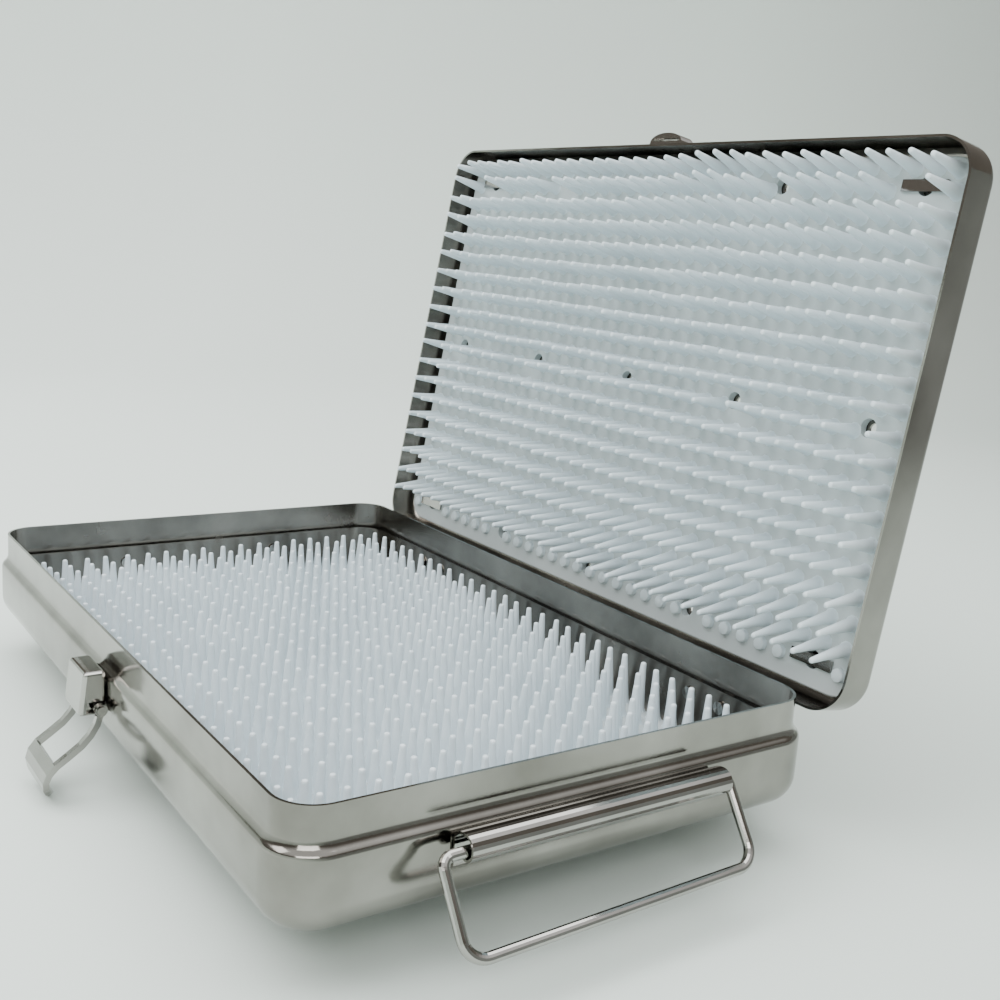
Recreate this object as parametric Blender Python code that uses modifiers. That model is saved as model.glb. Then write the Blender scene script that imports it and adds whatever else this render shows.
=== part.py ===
"""Hinged instrument tray: a shallow base and a lid, each lined with a finger mat.

Frame: +Z up, +X towards one carrying handle, +Y towards the hinges.
Origin: centre of the underside of the base.
"""
import bpy
import bmesh
from math import cos, pi, radians, sin
from mathutils import Matrix, Vector

MM = 0.001
GAP = 0.3 * MM

# Sheet metal of both pans
SHEET = 0.8 * MM
CORNER_STEPS = 8
FILLET_STEPS = 5

# Base pan
RIM_HALF_X = 130.4 * MM
RIM_HALF_Y = 80.0 * MM
RIM_Z = 32.0 * MM
RIM_CORNER = 11.0 * MM
BODY_OUT = 2.2 * MM
SHOULDER = ((0.0, 24.8), (0.15, 23.6), (0.45, 22.8), (0.95, 22.0), (1.5, 21.4), (1.95, 20.8), (2.2, 20.0))
BASE_FILLET = 8.5 * MM
BODY_HALF_X = RIM_HALF_X + BODY_OUT
BODY_HALF_Y = RIM_HALF_Y + BODY_OUT

# Hinge line and the open lid. Lid pieces are built about the hinge line with
# +Y up the lid and +Z out of its open face.
HINGE_Y = 86.33 * MM
HINGE_Z = 21.5 * MM
LID_TILT = radians(80.5)
LID_EDGE = 2.38 * MM
LID_RIM = -2.3 * MM
LID_HALF_X = 132.5 * MM
LID_LENGTH = 167.8 * MM
LID_DEPTH = 13.0 * MM
LID_FILLET = 3.5 * MM
LID_CORNER = 12.0 * MM
LID_MID = LID_EDGE + LID_LENGTH / 2

# Vent holes in the lid
VENT_PITCH_X = 56.0 * MM
VENT_COLUMNS = 5
VENT_ROWS = (12.4 * MM, 83.9 * MM, 155.4 * MM)
VENT_RADIUS = 1.8 * MM
MAT_HOLE_RADIUS = 2.9 * MM

# Finger mats, each a sheet with its field of fingers as one block
MAT_SHEET = 3.0 * MM
BASE_MAT_FOOT = (125.6 * MM, 75.2 * MM)
BASE_MAT_HALF = (128.0 * MM, 77.5 * MM)
BASE_FIELD_HALF = (121.0 * MM, 76.5 * MM)
BASE_FIELD_TOP = 17.6 * MM
LID_MAT_HALF = (129.0 * MM, 80.2 * MM)
LID_FIELD_HALF_X = 124.7 * MM
LID_FIELD_START = 11.0 * MM
LID_FIELD_END = 162.0 * MM
LID_FIELD_RISE = 5.0 * MM

# Split-leg fasteners of the lid mat
FASTENER_X = 2 * VENT_PITCH_X
FASTENER_STEM = 1.4 * MM
FASTENER_HEAD = 3.5 * MM
LEAF_SPAN = 16.0 * MM
LEAF_WIDTH = 3.5 * MM
LEAF_THICK = 0.8 * MM

# Hinges
HINGE_X = (-80.0 * MM, 87.0 * MM)
LEAF_HALF = 10.0 * MM
KNUCKLE_SPLIT = 5.15 * MM
KNUCKLE_RADIUS = 2.5 * MM
PIN_RADIUS = 1.1 * MM
LEAF_PLATE = 1.0 * MM
BASE_LEAF_FOOT = 9.0 * MM
LID_LEAF_REACH = 11.0 * MM
RIVET_SPREAD = 7.0 * MM
RIVET_RADIUS = 1.2 * MM
RIVET_HEAD = 2.1 * MM
RIVET_HEAD_THICK = 0.7 * MM
BASE_LEAF_RIVET_Z = 15.0 * MM
LID_LEAF_RIVET_DEPTH = 6.5 * MM

# Carrying handles
BRACKET_HALF = 40.0 * MM
BRACKET_SHEET = 0.7 * MM
ROLL_X = 138.0 * MM
ROLL_Z = 18.2 * MM
ROLL_RADIUS = 3.05 * MM
FLANGE_X = BODY_HALF_X + GAP + BRACKET_SHEET / 2
FLANGE_LOW = 11.5 * MM
BRACKET_RIVET_Y = 32.0 * MM
BRACKET_RIVET_Z = 13.9 * MM
BAIL_RADIUS = 1.45 * MM
BAIL_WIDTH = 88.0 * MM
BAIL_DROP = 23.0 * MM
BAIL_CORNER = 5.5 * MM
BAIL_TOP_CORNER = 2.6 * MM
BAIL_SHIFT = -2.6 * MM
BAIL_SWING = radians(33.0)
BAIL_TILT = radians(1.2)

# Latch
LATCH_X = 3.0 * MM
BOX_HALF_X = 8.0 * MM
BOX_BACK = -(BODY_HALF_Y + GAP)
BOX_FRONT_TOP = -88.8 * MM
BOX_FRONT_LOW = -90.3 * MM
BOX_LOW = 10.2 * MM
BOX_TOP = 23.3 * MM
PIVOT_Y = -84.6 * MM
PIVOT_Z = 12.4 * MM
LEVER_PIN_RADIUS = 0.9 * MM
LEVER_SHEET = 1.8 * MM
ARM_INNER = 8.7 * MM
ARM_OUTER = 10.8 * MM
EYE_RADIUS = 1.8 * MM
# Side line of the lever from its eye to its tip, and its share of the full width
LEVER_PATH = (
    (-0.3, -1.4, 1),
    (-1.2, -4.2, 1),
    (-3.0, -7.2, 1),
    (-5.6, -10.0, 1),
    (-9.2, -12.6, 1),
    (-12.7, -15.0, 1),
    (-14.7, -17.3, 0.98),
    (-15.5, -19.8, 0.94),
    (-15.1, -22.3, 0.84),
    (-14.0, -24.4, 0.64),
    (-12.6, -26.0, 0.38),
)
WINDOW_ROWS = 5
KEEPER_HALF = 8.4 * MM
KEEPER_RISE = 3.9 * MM
KEEPER_START = 1.0 * MM
KEEPER_END = 6.8 * MM
KEEPER_RIVET_DEPTH = 5.3 * MM


def clear_scene():
    for old in list(bpy.data.objects):
        bpy.data.objects.remove(old, do_unlink=True)


def material(name, colour, metallic, roughness):
    mat = bpy.data.materials.new(name)
    mat.use_nodes = True
    shader = mat.node_tree.nodes["Principled BSDF"]
    shader.inputs["Base Color"].default_value = (*colour, 1.0)
    shader.inputs["Metallic"].default_value = metallic
    shader.inputs["Roughness"].default_value = roughness
    mat.diffuse_color = (*colour, 1.0)
    return mat


def collection(name):
    coll = bpy.data.collections.new(name)
    bpy.context.scene.collection.children.link(coll)
    return coll


clear_scene()
TRAY = collection("instrument_tray")
CUTTERS = collection("cutters")
CUTTERS.hide_render = True
STEEL = material("brushed_steel", (0.60, 0.58, 0.55), 1.0, 0.32)
POLISHED = material("polished_steel", (0.72, 0.71, 0.69), 1.0, 0.14)
SILICONE = material("silicone", (0.74, 0.79, 0.80), 0.0, 0.45)


def link(name, data, mat, coll=TRAY):
    obj = bpy.data.objects.new(name, data)
    coll.objects.link(obj)
    if mat:
        data.materials.append(mat)
    return obj


def from_bmesh(name, bm, mat, coll=TRAY):
    mesh = bpy.data.meshes.new(name)
    bm.to_mesh(mesh)
    bm.free()
    return link(name, mesh, mat, coll)


def add_box(bm, low, high):
    centre = [(a + b) / 2 for a, b in zip(low, high)]
    size = [b - a for a, b in zip(low, high)]
    place = Matrix.Translation(centre) @ Matrix.Diagonal((*size, 1.0))
    bmesh.ops.create_cube(bm, size=1.0, matrix=place)


def add_cylinder(bm, start, end, radius, segments=20):
    start = Vector(start)
    along = Vector(end) - start
    turn = along.to_track_quat("Z", "Y").to_matrix().to_4x4()
    place = Matrix.Translation(start + along / 2) @ turn
    bmesh.ops.create_cone(
        bm, cap_ends=True, segments=segments, radius1=radius, radius2=radius, depth=along.length, matrix=place
    )


def box(name, low, high, mat=None, coll=CUTTERS):
    bm = bmesh.new()
    add_box(bm, low, high)
    return from_bmesh(name, bm, mat, coll)


def cylinders(name, rods, radius, mat=None, coll=CUTTERS):
    bm = bmesh.new()
    for start, end in rods:
        add_cylinder(bm, start, end, radius)
    return from_bmesh(name, bm, mat, coll)


def boolean(obj, tool, operation):
    tool.display_type = "WIRE"
    tool.hide_render = True
    mod = obj.modifiers.new(operation.lower(), "BOOLEAN")
    mod.operation = operation
    mod.solver = "EXACT"
    mod.object = tool


def cut(obj, tool):
    boolean(obj, tool, "DIFFERENCE")


def fuse(obj, tool):
    boolean(obj, tool, "UNION")


def bevel(obj, width, segments=2, angle=40.0):
    mod = obj.modifiers.new("bevel", "BEVEL")
    mod.width = width
    mod.segments = segments
    mod.limit_method = "ANGLE"
    mod.angle_limit = radians(angle)


def solidify(obj, thickness, offset):
    mod = obj.modifiers.new("sheet", "SOLIDIFY")
    mod.thickness = thickness
    mod.offset = offset
    mod.use_even_offset = True


def on_lid(*objects):
    """Place pieces that are built about the hinge line at the lid's open angle."""
    for obj in objects:
        obj.location = (0.0, HINGE_Y, HINGE_Z)
        obj.rotation_euler = (LID_TILT, 0.0, 0.0)


def ring(half_x, half_y, radius, z, mid_y=0.0):
    points = []
    for sx, sy, start in ((1, 1, 0.0), (-1, 1, 90.0), (-1, -1, 180.0), (1, -1, 270.0)):
        for step in range(CORNER_STEPS + 1):
            turn = radians(start + 90.0 * step / CORNER_STEPS)
            x = sx * (half_x - radius) + radius * cos(turn)
            y = mid_y + sy * (half_y - radius) + radius * sin(turn)
            points.append((x, y, z))
    return points


def loft(name, rings, mat, closed_top):
    """Skin the rings from the highest to the lowest and close the lowest."""
    bm = bmesh.new()
    rows = [[bm.verts.new(point) for point in points] for points in rings]
    count = len(rows[0])
    for upper, lower in zip(rows, rows[1:]):
        for i in range(count):
            j = (i + 1) % count
            bm.faces.new((upper[i], lower[i], lower[j], upper[j]))
    bm.faces.new(reversed(rows[-1]))
    if closed_top:
        bm.faces.new(rows[0])
    return from_bmesh(name, bm, mat)


def fillet(radius):
    """Inset and height of points round a quarter circle, from wall to floor."""
    steps = [pi / 2 * i / FILLET_STEPS for i in range(FILLET_STEPS + 1)]
    return [(radius * (1 - cos(a)), radius * (1 - sin(a))) for a in steps]


def base_pan():
    profile = [(0.0, RIM_Z)]
    profile += [(out * MM, z * MM) for out, z in SHOULDER]
    profile += [(BODY_OUT - inset, z) for inset, z in fillet(BASE_FILLET)]
    rings = [ring(RIM_HALF_X + o, RIM_HALF_Y + o, RIM_CORNER + o, z) for o, z in profile]
    pan = loft("base_tray", rings, STEEL, False)
    solidify(pan, SHEET, -1.0)
    return pan


def lid_pan():
    profile = [(0.0, LID_RIM)]
    floor = LID_RIM - LID_DEPTH
    profile += [(-inset, floor + rise) for inset, rise in fillet(LID_FILLET)]
    half_y = LID_LENGTH / 2
    rings = [ring(LID_HALF_X + o, half_y + o, LID_CORNER + o, z, LID_MID) for o, z in profile]
    pan = loft("lid_pan", rings, STEEL, False)
    solidify(pan, SHEET, -1.0)
    on_lid(pan)
    return pan


def vent_points():
    for column in range(VENT_COLUMNS):
        for row in VENT_ROWS:
            yield (column - (VENT_COLUMNS - 1) / 2) * VENT_PITCH_X, LID_EDGE + row


def vent_cutter(name, radius):
    low = LID_RIM - LID_DEPTH - 2 * MM
    high = LID_RIM + 12 * MM
    tool = cylinders(name, [((x, y, low), (x, y, high)) for x, y in vent_points()], radius)
    on_lid(tool)
    return tool


def base_mat():
    foot = SHEET + GAP
    top = foot + MAT_SHEET
    rings = [
        ring(*BASE_FIELD_HALF, 4 * MM, BASE_FIELD_TOP),
        ring(*BASE_FIELD_HALF, 4 * MM, top),
        ring(*BASE_MAT_HALF, 10 * MM, top),
        ring(*BASE_MAT_HALF, 10 * MM, foot + 1.1 * MM),
        ring(*BASE_MAT_FOOT, 8 * MM, foot),
    ]
    return loft("base_mat", rings, SILICONE, True)


def lid_mat():
    foot = LID_RIM - LID_DEPTH + SHEET + GAP
    top = foot + MAT_SHEET - GAP
    crest = LID_RIM + LID_FIELD_RISE
    field_mid = LID_EDGE + (LID_FIELD_START + LID_FIELD_END) / 2
    field_half = (LID_FIELD_END - LID_FIELD_START) / 2
    rings = [
        ring(LID_FIELD_HALF_X, field_half, 4 * MM, crest, field_mid),
        ring(LID_FIELD_HALF_X, field_half, 4 * MM, top, field_mid),
        ring(*LID_MAT_HALF, 9 * MM, top, LID_MID),
        ring(*LID_MAT_HALF, 9 * MM, foot, LID_MID),
    ]
    mat = loft("lid_mat", rings, SILICONE, True)
    on_lid(mat)
    cut(mat, vent_cutter("mat_hole_cutter", MAT_HOLE_RADIUS))
    bm = bmesh.new()
    reach = LEAF_SPAN / 2 + 1.5 * MM
    half = LEAF_WIDTH / 2 + 1.5 * MM
    for x, y in fastener_points():
        add_box(bm, (x - reach, y - half, top), (x + reach, y + half, crest + 2 * MM))
    pocket = from_bmesh("fastener_pocket_cutter", bm, None, CUTTERS)
    on_lid(pocket)
    cut(mat, pocket)
    return top


def fastener_points():
    for x in (-FASTENER_X, FASTENER_X):
        for row in (VENT_ROWS[0], VENT_ROWS[-1]):
            yield x, LID_EDGE + row


def lid_fasteners(mat_top):
    leaf_low = mat_top + GAP
    outside = LID_RIM - LID_DEPTH - GAP
    for number, (x, y) in enumerate(fastener_points(), 1):
        bm = bmesh.new()
        half = LEAF_WIDTH / 2
        low = (x - LEAF_SPAN / 2, y - half, leaf_low)
        add_box(bm, low, (x + LEAF_SPAN / 2, y + half, leaf_low + LEAF_THICK))
        leaf = from_bmesh(f"mat_fastener_{number}", bm, POLISHED)
        stem = cylinders(
            f"fastener_stem_{number}", [((x, y, outside - LEAF_THICK / 2), (x, y, leaf_low + LEAF_THICK / 2))],
            FASTENER_STEM,
        )
        head = cylinders(
            f"fastener_head_{number}", [((x, y, outside - LEAF_THICK), (x, y, outside))], FASTENER_HEAD
        )
        on_lid(leaf, stem, head)
        fuse(leaf, stem)
        fuse(leaf, head)


def turned(name, profile, segments, mat, coll=TRAY):
    """Turn a profile of (radius, height), listed upwards, about Z."""
    mesh = bpy.data.meshes.new(name)
    verts = [(radius, 0.0, height) for radius, height in profile]
    edges = [(i, i + 1) for i in range(len(profile) - 1)]
    mesh.from_pydata(verts, edges, [])
    obj = link(name, mesh, mat, coll)
    mod = obj.modifiers.new("turn", "SCREW")
    mod.axis = "Z"
    mod.steps = segments
    mod.render_steps = segments
    mod.use_merge_vertices = True
    mod.merge_threshold = 0.00001
    mod.use_normal_flip = True
    return obj


def rivet(name, grip, inner_head):
    """Domed head above height 0, shank down through the grip, inner head if it has one."""
    profile = [
        (0.0, RIVET_HEAD_THICK),
        (0.7 * RIVET_HEAD, 0.8 * RIVET_HEAD_THICK),
        (RIVET_HEAD, 0.3 * RIVET_HEAD_THICK),
        (RIVET_HEAD, 0.0),
        (RIVET_RADIUS, 0.0),
        (RIVET_RADIUS, -grip),
    ]
    if inner_head:
        profile += [(RIVET_HEAD, -grip), (RIVET_HEAD, -grip - 0.6 * RIVET_HEAD_THICK)]
        profile += [(0.0, -grip - RIVET_HEAD_THICK)]
    else:
        profile += [(0.0, -grip)]
    return turned(name, profile[::-1], 18, POLISHED)


def facing(obj, direction, location):
    obj.rotation_mode = "QUATERNION"
    obj.rotation_quaternion = Vector(direction).to_track_quat("Z", "Y")
    obj.location = location


def hinge_base_leaf(side, x, tray):
    wall = BODY_HALF_Y + GAP
    low = HINGE_Z - KNUCKLE_RADIUS
    name = f"hinge_{side}_base_leaf"
    leaf = box(
        name, (x - LEAF_HALF, wall, BASE_LEAF_FOOT), (x + LEAF_HALF, wall + LEAF_PLATE, low + 1.2 * MM), STEEL, TRAY
    )
    for end, sign in (("a", -1), ("b", 1)):
        near, far = sorted((x + sign * KNUCKLE_SPLIT, x + sign * LEAF_HALF))
        web = box(f"{name}_web_{end}", (near, wall + 0.2 * MM, low), (far, HINGE_Y, low + 1.2 * MM))
        rod = ((near, HINGE_Y, HINGE_Z), (far, HINGE_Y, HINGE_Z))
        knuckle = cylinders(f"{name}_knuckle_{end}", [rod], KNUCKLE_RADIUS)
        fuse(leaf, web)
        fuse(leaf, knuckle)
    bore = cylinders(
        f"{name}_bore", [((x - 12 * MM, HINGE_Y, HINGE_Z), (x + 12 * MM, HINGE_Y, HINGE_Z))], PIN_RADIUS + GAP
    )
    cut(leaf, bore)
    rods = []
    for sign in (-1, 1):
        rivet_x = x + sign * RIVET_SPREAD
        rods.append(((rivet_x, wall - 3 * MM, BASE_LEAF_RIVET_Z), (rivet_x, wall + 3 * MM, BASE_LEAF_RIVET_Z)))
    holes = cylinders(f"{name}_rivet_holes", rods, RIVET_RADIUS + GAP)
    cut(leaf, holes)
    cut(tray, holes)
    for end, sign in (("a", -1), ("b", 1)):
        grip = GAP + LEAF_PLATE + GAP + SHEET + GAP
        pin = rivet(f"hinge_{side}_base_rivet_{end}", grip, True)
        facing(pin, (0, 1, 0), (x + sign * RIVET_SPREAD, wall + LEAF_PLATE + GAP, BASE_LEAF_RIVET_Z))


def hinge_lid_leaf(side, x, pan):
    wall = LID_EDGE - GAP
    start = LID_RIM - 0.8 * MM
    name = f"hinge_{side}_lid_leaf"
    leaf = box(
        name, (x - LEAF_HALF, wall - LEAF_PLATE, LID_RIM - LID_LEAF_REACH), (x + LEAF_HALF, wall, start), STEEL, TRAY
    )
    half = KNUCKLE_SPLIT - GAP
    web = box(f"{name}_web", (x - half, wall - LEAF_PLATE, start - 0.5 * MM), (x + half, wall, -1.0 * MM))
    knuckle = cylinders(f"{name}_knuckle", [((x - half, 0, 0), (x + half, 0, 0))], KNUCKLE_RADIUS)
    bore = cylinders(f"{name}_bore", [((x - 12 * MM, 0, 0), (x + 12 * MM, 0, 0))], PIN_RADIUS + GAP)
    deep = LID_RIM - LID_LEAF_RIVET_DEPTH
    rods = []
    for sign in (-1, 1):
        rivet_x = x + sign * RIVET_SPREAD
        rods.append(((rivet_x, wall - 3 * MM, deep), (rivet_x, wall + 3 * MM, deep)))
    holes = cylinders(f"{name}_rivet_holes", rods, RIVET_RADIUS + GAP)
    on_lid(leaf, web, knuckle, bore, holes)
    fuse(leaf, web)
    fuse(leaf, knuckle)
    cut(leaf, bore)
    cut(leaf, holes)
    cut(pan, holes)
    place = Matrix.Translation((0, HINGE_Y, HINGE_Z)) @ Matrix.Rotation(LID_TILT, 4, "X")
    for end, sign in (("a", -1), ("b", 1)):
        pin = rivet(f"hinge_{side}_lid_rivet_{end}", GAP + LEAF_PLATE + GAP + SHEET, False)
        spot = place @ Vector((x + sign * RIVET_SPREAD, wall - LEAF_PLATE - GAP, deep))
        facing(pin, place.to_3x3() @ Vector((0, -1, 0)), spot)


def hinge_pin(side, x):
    half = LEAF_HALF + GAP
    head = 1.9 * MM
    profile = [
        (0.0, -half - 0.7 * MM),
        (head, -half - 0.7 * MM),
        (head, -half),
        (PIN_RADIUS, -half),
        (PIN_RADIUS, half),
        (head, half),
        (head, half + 0.7 * MM),
        (0.0, half + 0.7 * MM),
    ]
    pin = turned(f"hinge_{side}_pin", profile, 18, POLISHED)
    facing(pin, (1, 0, 0), (x, HINGE_Y, HINGE_Z))


def bracket_profile():
    """Flange up the wall, over the top of the roll and round it."""
    points = [(FLANGE_X, FLANGE_LOW), (FLANGE_X, ROLL_Z - 0.2 * MM)]
    bend = ROLL_X - FLANGE_X
    for step in range(1, 6):
        turn = pi - pi / 2 * step / 6
        points.append((ROLL_X + bend * cos(turn), ROLL_Z + ROLL_RADIUS * sin(turn)))
    for step in range(15):
        turn = pi / 2 - radians(225.0) * step / 14
        points.append((ROLL_X + ROLL_RADIUS * cos(turn), ROLL_Z + ROLL_RADIUS * sin(turn)))
    return points


def handle(side, sign, tray):
    bm = bmesh.new()
    rows = []
    for y in (-BRACKET_HALF, BRACKET_HALF):
        rows.append([bm.verts.new((sign * x, y, z)) for x, z in bracket_profile()])
    for i in range(len(rows[0]) - 1):
        bm.faces.new((rows[0][i], rows[0][i + 1], rows[1][i + 1], rows[1][i]))
    bracket = from_bmesh(f"handle_{side}_bracket", bm, POLISHED)
    solidify(bracket, BRACKET_SHEET, 0.0)
    outer = sign * (BODY_HALF_X + GAP + BRACKET_SHEET)
    rods = []
    for y in (-BRACKET_RIVET_Y, BRACKET_RIVET_Y):
        rods.append(((outer - sign * 4 * MM, y, BRACKET_RIVET_Z), (outer + sign * 0.8 * MM, y, BRACKET_RIVET_Z)))
    holes = cylinders(f"handle_{side}_rivet_holes", rods, RIVET_RADIUS + GAP)
    cut(bracket, holes)
    cut(tray, holes)
    for end, y in (("a", -BRACKET_RIVET_Y), ("b", BRACKET_RIVET_Y)):
        pin = rivet(f"handle_{side}_rivet_{end}", GAP + BRACKET_SHEET + GAP + SHEET + GAP, True)
        facing(pin, (sign, 0, 0), (outer + sign * GAP, y, BRACKET_RIVET_Z))


def arc(centre_y, centre_z, radius, start, end, steps):
    for step in range(steps + 1):
        turn = radians(start + (end - start) * step / steps)
        yield centre_y + radius * cos(turn), centre_z + radius * sin(turn)


def bail(side, sign):
    """Wire loop whose top run lies on the pivot line, hanging down its own -Z."""
    half = BAIL_WIDTH / 2
    top = half - BAIL_TOP_CORNER
    low = half - BAIL_CORNER
    path = []
    path += arc(top, -BAIL_TOP_CORNER, BAIL_TOP_CORNER, 90, 0, 6)
    path += arc(low, BAIL_CORNER - BAIL_DROP, BAIL_CORNER, 0, -90, 10)
    path += arc(-low, BAIL_CORNER - BAIL_DROP, BAIL_CORNER, -90, -180, 10)
    path += arc(-top, -BAIL_TOP_CORNER, BAIL_TOP_CORNER, 180, 90, 6)
    curve = bpy.data.curves.new(f"handle_{side}_bail", "CURVE")
    curve.dimensions = "3D"
    curve.bevel_depth = BAIL_RADIUS
    curve.bevel_resolution = 5
    spline = curve.splines.new("POLY")
    spline.points.add(len(path) - 1)
    for point, (y, z) in zip(spline.points, path):
        point.co = (0.0, y, z, 1.0)
    spline.use_cyclic_u = True
    loop = link(f"handle_{side}_bail", curve, POLISHED)
    loop.location = (sign * ROLL_X, BAIL_SHIFT, ROLL_Z)
    loop.rotation_euler = (BAIL_TILT, -sign * BAIL_SWING, 0.0)


def latch_box(tray):
    left = LATCH_X - BOX_HALF_X
    right = LATCH_X + BOX_HALF_X
    body = box("latch_box", (left, BOX_FRONT_TOP, BOX_LOW), (right, BOX_BACK, BOX_TOP), POLISHED, TRAY)
    for vert in body.data.vertices:
        if vert.co.z < PIVOT_Z and vert.co.y < PIVOT_Y:
            vert.co.y = BOX_FRONT_LOW
    bevel(body, 1.1 * MM, 3)
    bore = cylinders(
        "latch_pin_bore", [((left - 2 * MM, PIVOT_Y, PIVOT_Z), (right + 2 * MM, PIVOT_Y, PIVOT_Z))],
        LEVER_PIN_RADIUS + GAP,
    )
    bm = bmesh.new()
    for edge, sign in ((left, -1), (right, 1)):
        near, far = sorted((edge - sign * 1.5 * MM, edge + sign * 1.0 * MM))
        add_box(bm, (near, -88.2 * MM, BOX_LOW + 0.9 * MM), (far, -83.1 * MM, 14.4 * MM))
    recess = from_bmesh("latch_recess_cutter", bm, None, CUTTERS)
    rods = []
    for sign in (-1, 1):
        x = LATCH_X + sign * 4.5 * MM
        rods.append(((x, BOX_BACK - 2.6 * MM, 18.6 * MM), (x, BOX_BACK + 3 * MM, 18.6 * MM)))
    holes = cylinders("latch_rivet_holes", rods, RIVET_RADIUS + GAP)
    cut(body, recess)
    cut(body, bore)
    cut(body, holes)
    cut(tray, holes)
    for end, sign in (("a", -1), ("b", 1)):
        pin = rivet(f"latch_box_rivet_{end}", 3.3 * MM, False)
        inside = -(BODY_HALF_Y - SHEET - GAP)
        facing(pin, (0, 1, 0), (LATCH_X + sign * 4.5 * MM, inside, 18.6 * MM))


def latch_pin():
    half = ARM_OUTER + GAP
    head = 1.4 * MM
    profile = [
        (0.0, -half - 0.5 * MM),
        (head, -half - 0.5 * MM),
        (head, -half),
        (LEVER_PIN_RADIUS, -half),
        (LEVER_PIN_RADIUS, half),
        (head, half),
        (head, half + 0.5 * MM),
        (0.0, half + 0.5 * MM),
    ]
    pin = turned("latch_pin", profile, 18, POLISHED)
    facing(pin, (1, 0, 0), (LATCH_X, PIVOT_Y, PIVOT_Z))


def latch_lever():
    bm = bmesh.new()
    rows = []
    for y, z, taper in LEVER_PATH:
        columns = (-ARM_OUTER, -ARM_INNER, ARM_INNER, ARM_OUTER)
        rows.append([bm.verts.new((x * taper, y * MM, z * MM)) for x in columns])
    for i in range(len(rows) - 1):
        for j in range(3):
            if j == 1 and i < WINDOW_ROWS:
                continue
            bm.faces.new((rows[i][j], rows[i + 1][j], rows[i + 1][j + 1], rows[i][j + 1]))
    bmesh.ops.delete(bm, geom=[v for v in bm.verts if not v.link_faces], context="VERTS")
    lever = from_bmesh("latch_lever", bm, POLISHED)
    solidify(lever, LEVER_SHEET, 0.0)
    eyes = cylinders(
        "latch_lever_eyes",
        [((-ARM_OUTER, 0, 0), (-ARM_INNER, 0, 0)), ((ARM_INNER, 0, 0), (ARM_OUTER, 0, 0))],
        EYE_RADIUS,
    )
    bore = cylinders("latch_lever_bore", [((-14 * MM, 0, 0), (14 * MM, 0, 0))], LEVER_PIN_RADIUS + GAP)
    fuse(lever, eyes)
    cut(lever, bore)
    for obj in (lever, eyes, bore):
        obj.location = (LATCH_X, PIVOT_Y, PIVOT_Z)


def keeper(pan):
    wall = LID_EDGE + LID_LENGTH + GAP
    curve = bpy.data.curves.new("latch_keeper", "CURVE")
    curve.dimensions = "2D"
    curve.fill_mode = "BOTH"
    curve.extrude = (KEEPER_END - KEEPER_START) / 2
    spline = curve.splines.new("POLY")
    count = 16
    spline.points.add(count)
    for i, point in enumerate(spline.points):
        turn = pi * i / count
        point.co = (KEEPER_HALF * cos(turn), KEEPER_RISE * sin(turn) ** 0.8, 0.0, 1.0)
    spline.use_cyclic_u = True
    flat = link("latch_keeper_outline", curve, None, CUTTERS)
    bpy.context.view_layer.update()
    mesh = bpy.data.meshes.new_from_object(flat.evaluated_get(bpy.context.evaluated_depsgraph_get()))
    bpy.data.objects.remove(flat, do_unlink=True)
    bm = bmesh.new()
    bm.from_mesh(mesh)
    bmesh.ops.remove_doubles(bm, verts=bm.verts, dist=0.00001)
    middle = LID_RIM - (KEEPER_START + KEEPER_END) / 2
    bmesh.ops.translate(bm, verts=bm.verts, vec=(LATCH_X, wall, middle))
    hook = from_bmesh("latch_keeper", bm, POLISHED)
    slot = box(
        "latch_keeper_slot",
        (LATCH_X - 6.8 * MM, wall + 0.9 * MM, LID_RIM - 3.4 * MM),
        (LATCH_X + 6.8 * MM, wall + 1.9 * MM, LID_RIM),
    )
    deep = LID_RIM - KEEPER_RIVET_DEPTH
    rods = []
    for sign in (-1, 1):
        x = LATCH_X + sign * 4.5 * MM
        rods.append(((x, wall - 3 * MM, deep), (x, wall + 0.9 * MM + GAP, deep)))
    holes = cylinders("latch_keeper_rivet_holes", rods, RIVET_RADIUS + GAP)
    on_lid(hook, slot, holes)
    cut(hook, slot)
    cut(hook, holes)
    cut(pan, holes)
    place = Matrix.Translation((0, HINGE_Y, HINGE_Z)) @ Matrix.Rotation(LID_TILT, 4, "X")
    for end, sign in (("a", -1), ("b", 1)):
        profile = [(0.0, -GAP - SHEET), (RIVET_RADIUS, -GAP - SHEET), (RIVET_RADIUS, 0.9 * MM), (0.0, 0.9 * MM)]
        pin = turned(f"latch_keeper_rivet_{end}", profile, 18, POLISHED)
        facing(pin, place.to_3x3() @ Vector((0, 1, 0)), place @ Vector((LATCH_X + sign * 4.5 * MM, wall, deep)))


def build():
    tray = base_pan()
    pan = lid_pan()
    cut(pan, vent_cutter("vent_cutter", VENT_RADIUS))
    base_mat()
    mat_top = lid_mat()
    lid_fasteners(mat_top)
    for side, x in zip(("left", "right"), HINGE_X):
        hinge_base_leaf(side, x, tray)
        hinge_lid_leaf(side, x, pan)
        hinge_pin(side, x)
    for side, sign in (("left", -1), ("right", 1)):
        handle(side, sign, tray)
        bail(side, sign)
    latch_box(tray)
    latch_pin()
    latch_lever()
    keeper(pan)


build()
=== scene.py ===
"""Instrument case with finger mats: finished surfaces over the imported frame, with camera and light."""

import bpy
import bmesh
import random
from math import cos, hypot, pi, radians, sin
from mathutils import Matrix, Vector


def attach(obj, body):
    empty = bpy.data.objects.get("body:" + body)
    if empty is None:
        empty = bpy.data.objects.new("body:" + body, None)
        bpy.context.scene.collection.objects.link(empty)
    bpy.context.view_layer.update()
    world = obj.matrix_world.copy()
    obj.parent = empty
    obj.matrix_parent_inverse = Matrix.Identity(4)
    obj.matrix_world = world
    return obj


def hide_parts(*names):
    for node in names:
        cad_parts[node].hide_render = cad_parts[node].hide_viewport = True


MM = 0.001

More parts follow.
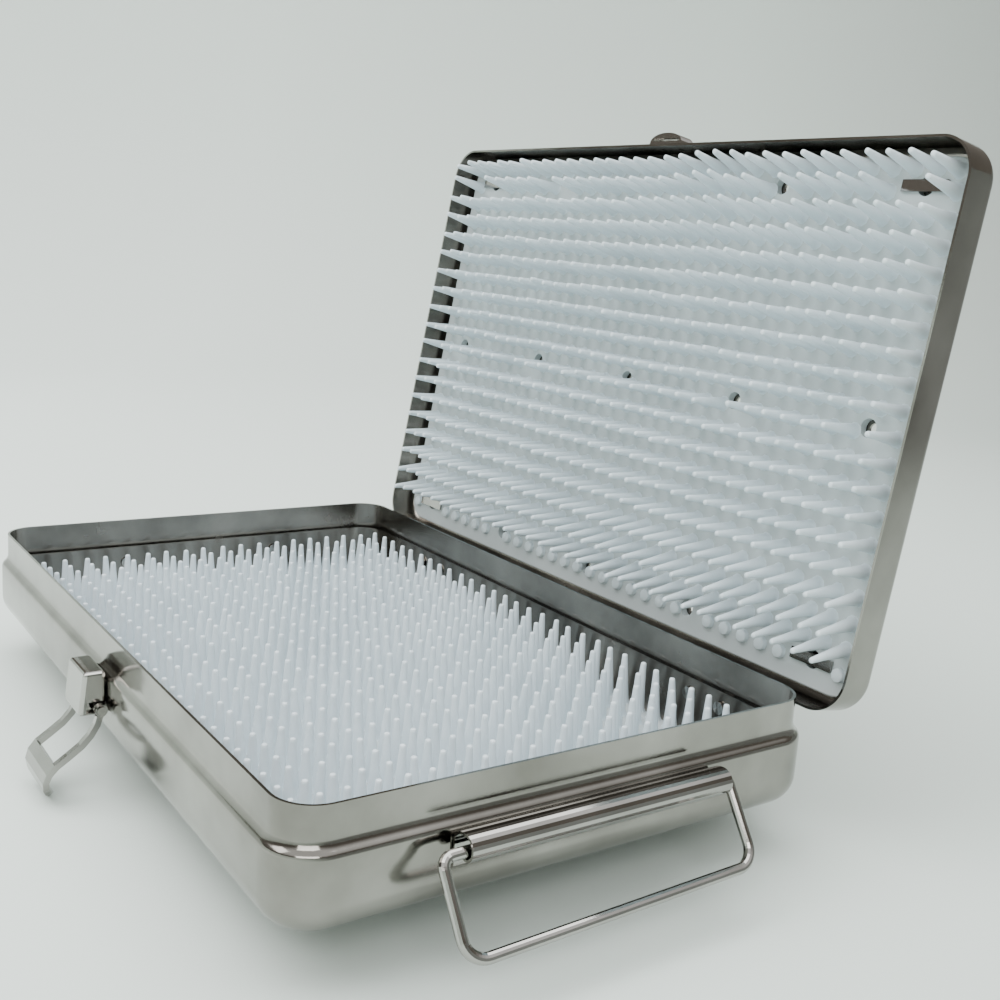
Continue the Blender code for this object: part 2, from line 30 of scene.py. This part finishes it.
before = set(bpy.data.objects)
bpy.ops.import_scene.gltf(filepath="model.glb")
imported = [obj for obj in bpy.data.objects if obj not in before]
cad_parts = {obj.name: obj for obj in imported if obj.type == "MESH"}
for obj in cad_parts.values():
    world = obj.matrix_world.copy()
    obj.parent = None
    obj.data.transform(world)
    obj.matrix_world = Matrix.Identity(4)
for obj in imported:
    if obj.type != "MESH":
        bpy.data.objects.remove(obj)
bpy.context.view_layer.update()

# Base pan
RIM_HALF = (130.4, 80.0)
RIM_Z = 32.0
RIM_CORNER = 11.0
BODY_OUT = 2.2
SHOULDER = ((0.0, 24.8), (0.15, 23.6), (0.45, 22.8), (0.95, 22.0), (1.5, 21.4), (1.95, 20.8), (2.2, 20.0))
BASE_FILLET = 8.5
SHEET = 0.8

# Hinge line and lid: lid pieces are built with Y up the lid and Z out of its open face
HINGE = (0.0, 86.33, 21.5)
LID_TILT = radians(80.5)
LID_EDGE = 2.38
LID_RIM = -2.3
LID_HALF_X = 132.5
LID_LENGTH = 167.8
LID_DEPTH = 13.0
LID_FILLET = 3.5
LID_CORNER = 12.0
LID_MID = LID_EDGE + LID_LENGTH / 2
VENT_X = (-112.0, -56.0, 0.0, 56.0, 112.0)
VENT_V = (12.4, 83.9, 155.4)
LID_FIRST_ROW = 10.9
VENT_RADIUS = 1.8
MAT_HOLE_RADIUS = 2.9

# Finger mats
PITCH = 7.93
MAT_SHEET = 2.7
FINGER_LENGTH = 16.5
# Radius of a finger at shares of its length
FINGER_PROFILE = (
    (0.0, 2.7), (0.03, 2.35), (0.09, 2.15), (0.5, 1.5), (0.94, 0.95), (0.985, 0.86), (1.0, 0.62)
)
STUB_PROFILE = ((0.0, 2.3), (0.5, 2.15), (0.92, 2.1), (1.0, 1.95))
FINGER_SIDES = 10
ROOT_ROOM = 2.7
LID_FINGER_LENGTH = 15.6
LID_FINGER_LEAN_X = 0.9
# Lean of the lid's finger tips at places up the lid
LEAN_LEFT = ((10.0, -1.8), (30.0, -1.6), (45.0, -0.6), (100.0, 0.0), (165.0, 0.3))
LEAN_RIGHT = (
    (10.0, -3.1), (31.0, -3.1), (42.0, -0.8), (80.0, -0.2), (120.0, 0.4), (143.0, 1.3), (165.0, 1.3)
)
SPLAY_X = 32.0
SPLAY = 1.3
FASTENER_CLEAR = (6.5, 4.0)

# Camera
CAMERA_AT = (0.3465, -0.1818, 0.1525)
CAMERA_YAW = 55.219
CAMERA_PITCH = -12.083
CAMERA_ROLL = 3.873
CAMERA_LENS = 44.0

# Floor that sweeps up to a wall
FLOOR_Z = -15.0
FLOOR_RADIUS = 1.0
WALL_OUT = 0.6
WALL_RISE = 0.62
WALL_STEPS = 12
ROOM_SIDES = 96
DARK_BAND = (0.17, 0.155, 0.135)
STUB_LENGTH = 1.6
FINGER_BEND = 1.12


# ---------------------------------------------------------------- materials
def new_material(name):
    mat = bpy.data.materials.new(name)
    mat.use_nodes = True
    return mat, mat.node_tree.nodes, mat.node_tree.links, mat.node_tree.nodes["Principled BSDF"]


def ramp(nodes, stops):
    made = nodes.new("ShaderNodeValToRGB")
    elements = made.color_ramp.elements
    while len(elements) < len(stops):
        elements.new(0.5)
    for element, (place, colour) in zip(elements, stops):
        element.position = place
        element.color = (*colour, 1.0)
    return made


def grey(value):
    return (value, value, value)


def noise(nodes, links, coords, scale, detail, stretch=(1.0, 1.0, 1.0)):
    mapping = nodes.new("ShaderNodeMapping")
    mapping.inputs["Scale"].default_value = stretch
    links.new(coords, mapping.inputs["Vector"])
    made = nodes.new("ShaderNodeTexNoise")
    made.inputs["Scale"].default_value = scale
    made.inputs["Detail"].default_value = detail
    links.new(mapping.outputs["Vector"], made.inputs["Vector"])
    return made


def steel(name, dark, light, rough, grain, bump):
    """Satin sheet: cloudy tone, roughness that drifts, fine rubbed grain."""
    mat, nodes, links, shader = new_material(name)
    coords = nodes.new("ShaderNodeTexCoord").outputs["Object"]
    cloud = noise(nodes, links, coords, 28.0, 5.0)
    tone = ramp(nodes, ((0.3, dark), (0.7, light)))
    links.new(cloud.outputs["Fac"], tone.inputs["Fac"])
    links.new(tone.outputs["Color"], shader.inputs["Base Color"])
    patch = noise(nodes, links, coords, 60.0, 6.0)
    gloss = ramp(nodes, ((0.3, grey(rough[0])), (0.7, grey(rough[1]))))
    links.new(patch.outputs["Fac"], gloss.inputs["Fac"])
    links.new(gloss.outputs["Color"], shader.inputs["Roughness"])
    rub = noise(nodes, links, coords, grain, 4.0, (1.0, 1.0, 6.0))
    relief = nodes.new("ShaderNodeBump")
    relief.inputs["Strength"].default_value = bump
    relief.inputs["Distance"].default_value = 0.0002
    links.new(rub.outputs["Fac"], relief.inputs["Height"])
    links.new(relief.outputs["Normal"], shader.inputs["Normal"])
    shader.inputs["Metallic"].default_value = 1.0
    return mat


def silicone(name, tint, shade, milky):
    mat, nodes, links, shader = new_material(name)
    coords = nodes.new("ShaderNodeTexCoord").outputs["Object"]
    cloud = noise(nodes, links, coords, 45.0, 4.0)
    tone = ramp(nodes, ((0.3, shade), (0.7, tint)))
    links.new(cloud.outputs["Fac"], tone.inputs["Fac"])
    links.new(tone.outputs["Color"], shader.inputs["Base Color"])
    fine = noise(nodes, links, coords, 900.0, 3.0)
    gloss = ramp(nodes, ((0.3, grey(0.38)), (0.7, grey(0.55))))
    links.new(fine.outputs["Fac"], gloss.inputs["Fac"])
    links.new(gloss.outputs["Color"], shader.inputs["Roughness"])
    relief = nodes.new("ShaderNodeBump")
    relief.inputs["Strength"].default_value = 0.15
    relief.inputs["Distance"].default_value = 0.0002
    links.new(fine.outputs["Fac"], relief.inputs["Height"])
    links.new(relief.outputs["Normal"], shader.inputs["Normal"])
    shader.inputs["Subsurface Weight"].default_value = milky
    shader.inputs["Subsurface Radius"].default_value = (1.0, 1.0, 1.0)
    shader.inputs["Subsurface Scale"].default_value = 0.004
    shader.inputs["Specular IOR Level"].default_value = 0.4
    return mat


STEEL = steel("satin_steel", (0.17, 0.162, 0.145), (0.34, 0.33, 0.305), (0.08, 0.16), 900.0, 0.03)
# Inner faces of the pans: rougher steel whose darker, warmer tone is painted shade of the pans' insides.
INSIDE = steel("dulled_inner_steel_painted_shade", (0.11, 0.10, 0.088), (0.34, 0.315, 0.28), (0.14, 0.28), 700.0, 0.1)
POLISHED = steel("polished_steel", (0.28, 0.272, 0.255), (0.41, 0.40, 0.38), (0.05, 0.12), 1400.0, 0.03)
FINGER = silicone("silicone_finger", (0.66, 0.74, 0.78), (0.57, 0.65, 0.69), 0.04)
# Same silicone as the fingers; the sheet's darker tone is painted shade under the fingers.
MAT = silicone("silicone_sheet_painted_shade", (0.48, 0.53, 0.54), (0.40, 0.45, 0.46), 0.0)


# ---------------------------------------------------------------- mesh helpers
def link(name, data, mat):
    obj = bpy.data.objects.new(name, data)
    bpy.context.scene.collection.objects.link(obj)
    if mat:
        data.materials.append(mat)
    return obj


def smooth(mesh, angle=35.0):
    for face in mesh.polygons:
        face.use_smooth = True
    mesh.set_sharp_from_angle(angle=radians(angle))


def from_bmesh(name, bm, mat):
    mesh = bpy.data.meshes.new(name)
    bmesh.ops.recalc_face_normals(bm, faces=bm.faces)
    bm.to_mesh(mesh)
    bm.free()
    smooth(mesh)
    return link(name, mesh, mat)


def bake(obj):
    """Apply the modifiers."""
    bpy.context.view_layer.update()
    shaped = obj.evaluated_get(bpy.context.evaluated_depsgraph_get())
    mesh = bpy.data.meshes.new_from_object(shaped)
    obj.modifiers.clear()
    old = obj.data
    obj.data = mesh
    bpy.data.meshes.remove(old)
    smooth(mesh)


def on_lid(obj):
    obj.location = Vector(HINGE) * MM
    obj.rotation_euler = (LID_TILT, 0.0, 0.0)
    return obj


def ring(half_x, half_y, radius, z, mid_y, steps):
    points = []
    for sx, sy, start in ((1, 1, 0.0), (-1, 1, 90.0), (-1, -1, 180.0), (1, -1, 270.0)):
        for step in range(steps + 1):
            turn = radians(start + 90.0 * step / steps)
            x = sx * (half_x - radius) + radius * cos(turn)
            y = mid_y + sy * (half_y - radius) + radius * sin(turn)
            points.append((x * MM, y * MM, z * MM))
    return points


def loft(name, rings, mat, closed_top=False):
    bm = bmesh.new()
    rows = [[bm.verts.new(point) for point in points] for points in rings]
    count = len(rows[0])
    for upper, lower in zip(rows, rows[1:]):
        for i in range(count):
            j = (i + 1) % count
            bm.faces.new((upper[i], lower[i], lower[j], upper[j]))
    bm.faces.new(reversed(rows[-1]))
    if closed_top:
        bm.faces.new(rows[0])
    mesh = bpy.data.meshes.new(name)
    bm.to_mesh(mesh)
    bm.free()
    return link(name, mesh, mat)


def solidify(obj, thickness):
    """Thicken inwards; the inner face takes the second material, the rougher steel with painted shade."""
    obj.data.materials.append(INSIDE)
    mod = obj.modifiers.new("sheet", "SOLIDIFY")
    mod.thickness = thickness * MM
    mod.offset = -1.0
    mod.use_even_offset = True
    mod.material_offset = 1


def cut_rods(obj, rods, radius):
    """Cut holes through obj along the rods, which are in its own space."""
    bm = bmesh.new()
    for start, end in rods:
        start = Vector(start) * MM
        along = Vector(end) * MM - start
        turn = along.to_track_quat("Z", "Y").to_matrix().to_4x4()
        place = Matrix.Translation(start + along / 2) @ turn
        bmesh.ops.create_cone(
            bm, cap_ends=True, segments=24, radius1=radius * MM, radius2=radius * MM,
            depth=along.length, matrix=place,
        )
    mesh = bpy.data.meshes.new("cutter")
    bm.to_mesh(mesh)
    bm.free()
    tool = link("cutter", mesh, None)
    tool.matrix_world = obj.matrix_world
    tool.location = obj.location
    tool.rotation_euler = obj.rotation_euler
    mod = obj.modifiers.new("holes", "BOOLEAN")
    mod.operation = "DIFFERENCE"
    mod.solver = "EXACT"
    mod.object = tool
    bake(obj)
    bpy.data.objects.remove(tool, do_unlink=True)


# ---------------------------------------------------------------- pans
def fillet(radius, steps):
    turns = [pi / 2 * i / steps for i in range(steps + 1)]
    return [(radius * (1 - cos(a)), radius * (1 - sin(a))) for a in turns]


def curve_through(points, per_span):
    """Points of a smooth curve through the given ones."""
    out = []
    last = len(points) - 1
    for i in range(last):
        p0, p1, p2, p3 = points[max(i - 1, 0)], points[i], points[i + 1], points[min(i + 2, last)]
        for step in range(per_span):
            t = step / per_span
            out.append(tuple(
                0.5 * (
                    2 * b + (c - a) * t
                    + (2 * a - 5 * b + 4 * c - d) * t ** 2
                    + (3 * b - a - 3 * c + d) * t ** 3
                )
                for a, b, c, d in zip(p0, p1, p2, p3)
            ))
    out.append(points[-1])
    return out


def base_tray():
    profile = [(0.0, RIM_Z), (0.0, 29.0)]
    profile += curve_through(SHOULDER, 3)
    profile += [(BODY_OUT, 15.0)]
    profile += [(BODY_OUT - inset, z) for inset, z in fillet(BASE_FILLET, 10)]
    rings = [ring(RIM_HALF[0] + o, RIM_HALF[1] + o, RIM_CORNER + o, z, 0.0, 16) for o, z in profile]
    pan = loft("base_tray_sheet", rings, STEEL)
    solidify(pan, SHEET)
    bake(pan)
    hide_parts("base_tray")
    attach(pan, "base")


def lid_pan():
    floor = LID_RIM - LID_DEPTH
    profile = [(0.0, LID_RIM)]
    profile += [(-inset, floor + rise) for inset, rise in fillet(LID_FILLET, 8)]
    half = LID_LENGTH / 2
    rings = [ring(LID_HALF_X + o, half + o, LID_CORNER + o, z, LID_MID, 16) for o, z in profile]
    pan = on_lid(loft("lid_sheet", rings, STEEL))
    solidify(pan, SHEET)
    vents = [((x, LID_EDGE + v, floor - 2), (x, LID_EDGE + v, floor + 3)) for x in VENT_X for v in VENT_V]
    cut_rods(pan, vents, VENT_RADIUS)
    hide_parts("lid_pan")
    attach(pan, "lid")


# ---------------------------------------------------------------- finger mats
def fingers(name, roots, mat):
    """One mesh of tapered fingers. Each root is (x, y, z, lean x, lean y, length), in mm."""
    verts = []
    faces = []
    for x, y, z, lean_x, lean_y, length in roots:
        first = len(verts)
        profile = FINGER_PROFILE if length > 5.0 else STUB_PROFILE
        for t, radius in profile:
            bend = t ** FINGER_BEND
            drop = (lean_x ** 2 + lean_y ** 2) / (2 * length) * bend
            mid = (x + lean_x * bend, y + lean_y * bend, z + t * length - drop)
            for side in range(FINGER_SIDES):
                turn = 2 * pi * side / FINGER_SIDES
                around = (mid[0] + radius * cos(turn), mid[1] + radius * sin(turn))
                verts.append((around[0] * MM, around[1] * MM, mid[2] * MM))
        for row in range(len(profile) - 1):
            low = first + row * FINGER_SIDES
            for side in range(FINGER_SIDES):
                nxt = (side + 1) % FINGER_SIDES
                faces.append((low + side, low + nxt, low + FINGER_SIDES + nxt, low + FINGER_SIDES + side))
        tip = first + (len(profile) - 1) * FINGER_SIDES
        faces.append(tuple(range(tip, tip + FINGER_SIDES)))
    mesh = bpy.data.meshes.new(name)
    mesh.from_pydata(verts, [], faces)
    smooth(mesh, 60.0)
    return link(name, mesh, mat)


def base_mat():
    foot = SHEET + 0.3
    top = foot + MAT_SHEET + 0.3
    rings = [
        ring(127.6, 77.1, 9.6, top, 0.0, 8),
        ring(128.0, 77.5, 10.0, top - 0.4, 0.0, 8),
        ring(128.0, 77.5, 10.0, foot + 1.1, 0.0, 8),
        ring(125.6, 75.2, 8.0, foot, 0.0, 8),
    ]
    sheet = loft("base_mat_sheet", rings, MAT, True)
    smooth(sheet.data)
    dice = random.Random(11)
    roots = []
    for column in range(-15, 16):
        for row in range(-10, 10):
            x = column * PITCH
            y = (row + 0.5) * PITCH
            roots.append((x, y, top, dice.gauss(0.0, 0.35), dice.gauss(0.0, 0.35), FINGER_LENGTH))
    field = fingers("base_mat_fingers", roots, FINGER)
    for piece in (sheet, field):
        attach(piece, "base")
        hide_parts("base_mat")


def between(value, stops):
    """Straight-line value at a place along (place, value) stops."""
    for (low, first), (high, second) in zip(stops, stops[1:]):
        if value < high:
            share = max(0.0, (value - low) / (high - low))
            return first + (second - first) * share
    return stops[-1][1]


def droop(x, v, dice):
    """How far a lid finger's tip leans up the lid, in mm."""
    right = between(x, ((-20.0, 0.0), (20.0, 1.0)))
    lean = between(v, LEAN_LEFT) * (1.0 - right) + between(v, LEAN_RIGHT) * right
    splay = between(abs(x - SPLAY_X), ((0.0, SPLAY), (18.0, 0.0))) * between(v, ((134.0, 0.0), (150.0, 1.0)))
    return lean + splay + dice.gauss(0.0, 0.3)


def clear_of_rim(x, y):
    """Pull a root in so that it passes inside the base rim when the lid is shut."""
    reach = RIM_CORNER - SHEET - ROOT_ROOM
    mid_x = RIM_HALF[0] - RIM_CORNER
    mid_y = RIM_HALF[1] - RIM_CORNER
    over_x = max(abs(x) - mid_x, 0.0)
    over_y = max(abs(y) - mid_y, 0.0)
    share = min(1.0, reach / max(hypot(over_x, over_y), 0.001))
    pull_x = over_x * (1.0 - share)
    pull_y = over_y * (1.0 - share)
    return x - pull_x * (1 if x > 0 else -1), y - pull_y * (1 if y > 0 else -1)


def under_fastener(x, v):
    reach_x, reach_v = FASTENER_CLEAR
    near_x = abs(abs(x) - VENT_X[-1]) < reach_x
    return near_x and min(abs(v - VENT_V[0]), abs(v - VENT_V[-1])) < reach_v


def lid_mat():
    floor = LID_RIM - LID_DEPTH + SHEET + 0.3
    top = floor + MAT_SHEET
    rings = [
        ring(128.6, 79.8, 8.6, top, LID_MID, 8),
        ring(129.0, 80.2, 9.0, top - 0.4, LID_MID, 8),
        ring(129.0, 80.2, 9.0, floor, LID_MID, 8),
    ]
    sheet = on_lid(loft("lid_mat_sheet", rings, MAT, True))
    holes = [((x, LID_EDGE + v, floor - 2), (x, LID_EDGE + v, top + 2)) for x in VENT_X for v in VENT_V]
    cut_rods(sheet, holes, MAT_HOLE_RADIUS)
    dice = random.Random(5)
    roots = []
    for column in range(-16, 16):
        for row in range(20):
            x = (column + 0.5) * PITCH
            v = LID_FIRST_ROW + row * PITCH
            lean_x = LID_FINGER_LEAN_X + dice.gauss(0.0, 0.3)
            lean_y = droop(x, v, dice)
            length = LID_FINGER_LENGTH if row else STUB_LENGTH
            if row == 0:
                lean_x = 0.0
                lean_y = 0.0
            if min(hypot(x - hx, v - hv) for hx in VENT_X for hv in VENT_V) < MAT_HOLE_RADIUS + 1.2:
                continue
            if under_fastener(x, v):
                continue
            x, shut_y = clear_of_rim(x, HINGE[1] - LID_EDGE - v)
            roots.append((x, HINGE[1] - shut_y, top, lean_x, lean_y, length))
    field = on_lid(fingers("lid_mat_fingers", roots, FINGER))
    for piece in (sheet, field):
        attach(piece, "lid")
        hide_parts("lid_mat")


# ---------------------------------------------------------------- room, light, camera
def room():
    """Round floor that sweeps up to a wall, with painted shade fading from pale on one side to grey on the
    other.
    """
    profile = [(0.0, 0.0), (FLOOR_RADIUS, 0.0)]
    turns = [pi / 2 * i / WALL_STEPS for i in range(1, WALL_STEPS + 1)]
    profile += [(FLOOR_RADIUS + WALL_OUT * sin(turn), WALL_RISE - WALL_RISE * cos(turn)) for turn in turns]
    bm = bmesh.new()
    rows = []
    sides = ROOM_SIDES
    for radius, z in profile[1:]:
        row = [(radius * cos(2 * pi * s / sides), radius * sin(2 * pi * s / sides)) for s in range(sides)]
        rows.append([bm.verts.new((x, y, z + FLOOR_Z * MM)) for x, y in row])
    bm.faces.new(rows[0])
    for low, high in zip(rows, rows[1:]):
        for s in range(sides):
            bm.faces.new((low[s], low[(s + 1) % sides], high[(s + 1) % sides], high[s]))
    mat, nodes, links, shader = new_material("floor_with_painted_shade")
    coords = nodes.new("ShaderNodeTexCoord")
    along = nodes.new("ShaderNodeVectorMath")
    along.operation = "DOT_PRODUCT"
    along.inputs[1].default_value = (0.6, 0.8, 0.0)
    centred = nodes.new("ShaderNodeMath")
    centred.operation = "MULTIPLY_ADD"
    centred.inputs[1].default_value = 0.4
    centred.inputs[2].default_value = 0.5
    # Painted shade: pale towards -X -Y, dark grey towards +X +Y, standing in for the shaded side of the room
    # that the metal reflects.
    painted_shade_ramp = ramp(nodes, ((0.34, (0.74, 0.81, 0.77)), (0.62, (0.58, 0.65, 0.61)), (0.9, (0.24, 0.25, 0.24))))
    links.new(coords.outputs["Object"], along.inputs[0])
    links.new(along.outputs["Value"], centred.inputs[0])
    links.new(centred.outputs["Value"], painted_shade_ramp.inputs["Fac"])
    links.new(painted_shade_ramp.outputs["Color"], shader.inputs["Base Color"])
    shader.inputs["Roughness"].default_value = 0.8
    shader.inputs["Specular IOR Level"].default_value = 0.1
    floor = from_bmesh("floor", bm, mat)


def area_light(name, at, target, size, power, colour):
    data = bpy.data.lights.new(name, "AREA")
    data.shape = "RECTANGLE"
    data.size, data.size_y = size
    data.energy = power
    data.color = colour
    obj = bpy.data.objects.new(name, data)
    bpy.context.scene.collection.objects.link(obj)
    obj.location = at
    obj.rotation_euler = (Vector(target) - Vector(at)).to_track_quat("-Z", "Y").to_euler()


def lights():
    """Sky with a dark band between the floor and the bright ceiling, and three panels."""
    world = bpy.data.worlds.new("room_light")
    world.use_nodes = True
    nodes = world.node_tree.nodes
    links = world.node_tree.links
    coords = nodes.new("ShaderNodeTexCoord")
    split = nodes.new("ShaderNodeSeparateXYZ")
    bands = ramp(nodes, ((0.0, grey(0.8)), (0.1, DARK_BAND), (0.5, DARK_BAND), (0.72, grey(1.0))))
    links.new(coords.outputs["Generated"], split.inputs["Vector"])
    links.new(split.outputs["Z"], bands.inputs["Fac"])
    sky = nodes["Background"]
    links.new(bands.outputs["Color"], sky.inputs["Color"])
    sky.inputs["Strength"].default_value = 1.5
    bpy.context.scene.world = world
    area_light("key", (-0.35, -0.75, 1.15), (0, 0, 0), (1.2, 0.9), 17.0, (1.0, 1.0, 1.0))
    area_light("top", (0.1, 0.2, 1.5), (0, 0, 0), (1.5, 1.5), 22.0, (0.98, 1.0, 1.0))
    area_light("fill", (1.0, -0.65, 0.75), (0, 0, 0), (0.9, 0.5), 9.0, (1.0, 1.0, 0.99))


def camera():
    data = bpy.data.cameras.new("camera")
    data.lens = CAMERA_LENS
    data.sensor_width = 36.0
    data.clip_start = 0.01
    data.clip_end = 20.0
    obj = bpy.data.objects.new("camera", data)
    bpy.context.scene.collection.objects.link(obj)
    turn = Matrix.Rotation(radians(CAMERA_YAW), 4, "Z")
    turn = turn @ Matrix.Rotation(radians(90.0 + CAMERA_PITCH), 4, "X")
    turn = turn @ Matrix.Rotation(radians(CAMERA_ROLL), 4, "Z")
    obj.matrix_world = Matrix.Translation(CAMERA_AT) @ turn
    bpy.context.scene.camera = obj


def dress_frame():
    """Finish the metal nodes that are shown as they are."""
    for name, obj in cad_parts.items():
        finish = STEEL if "leaf" in name else POLISHED
        for slot in obj.material_slots:
            slot.material = finish
        smooth(obj.data)


def build():
    dress_frame()
    base_tray()
    lid_pan()
    base_mat()
    lid_mat()
    room()
    lights()
    camera()


build()
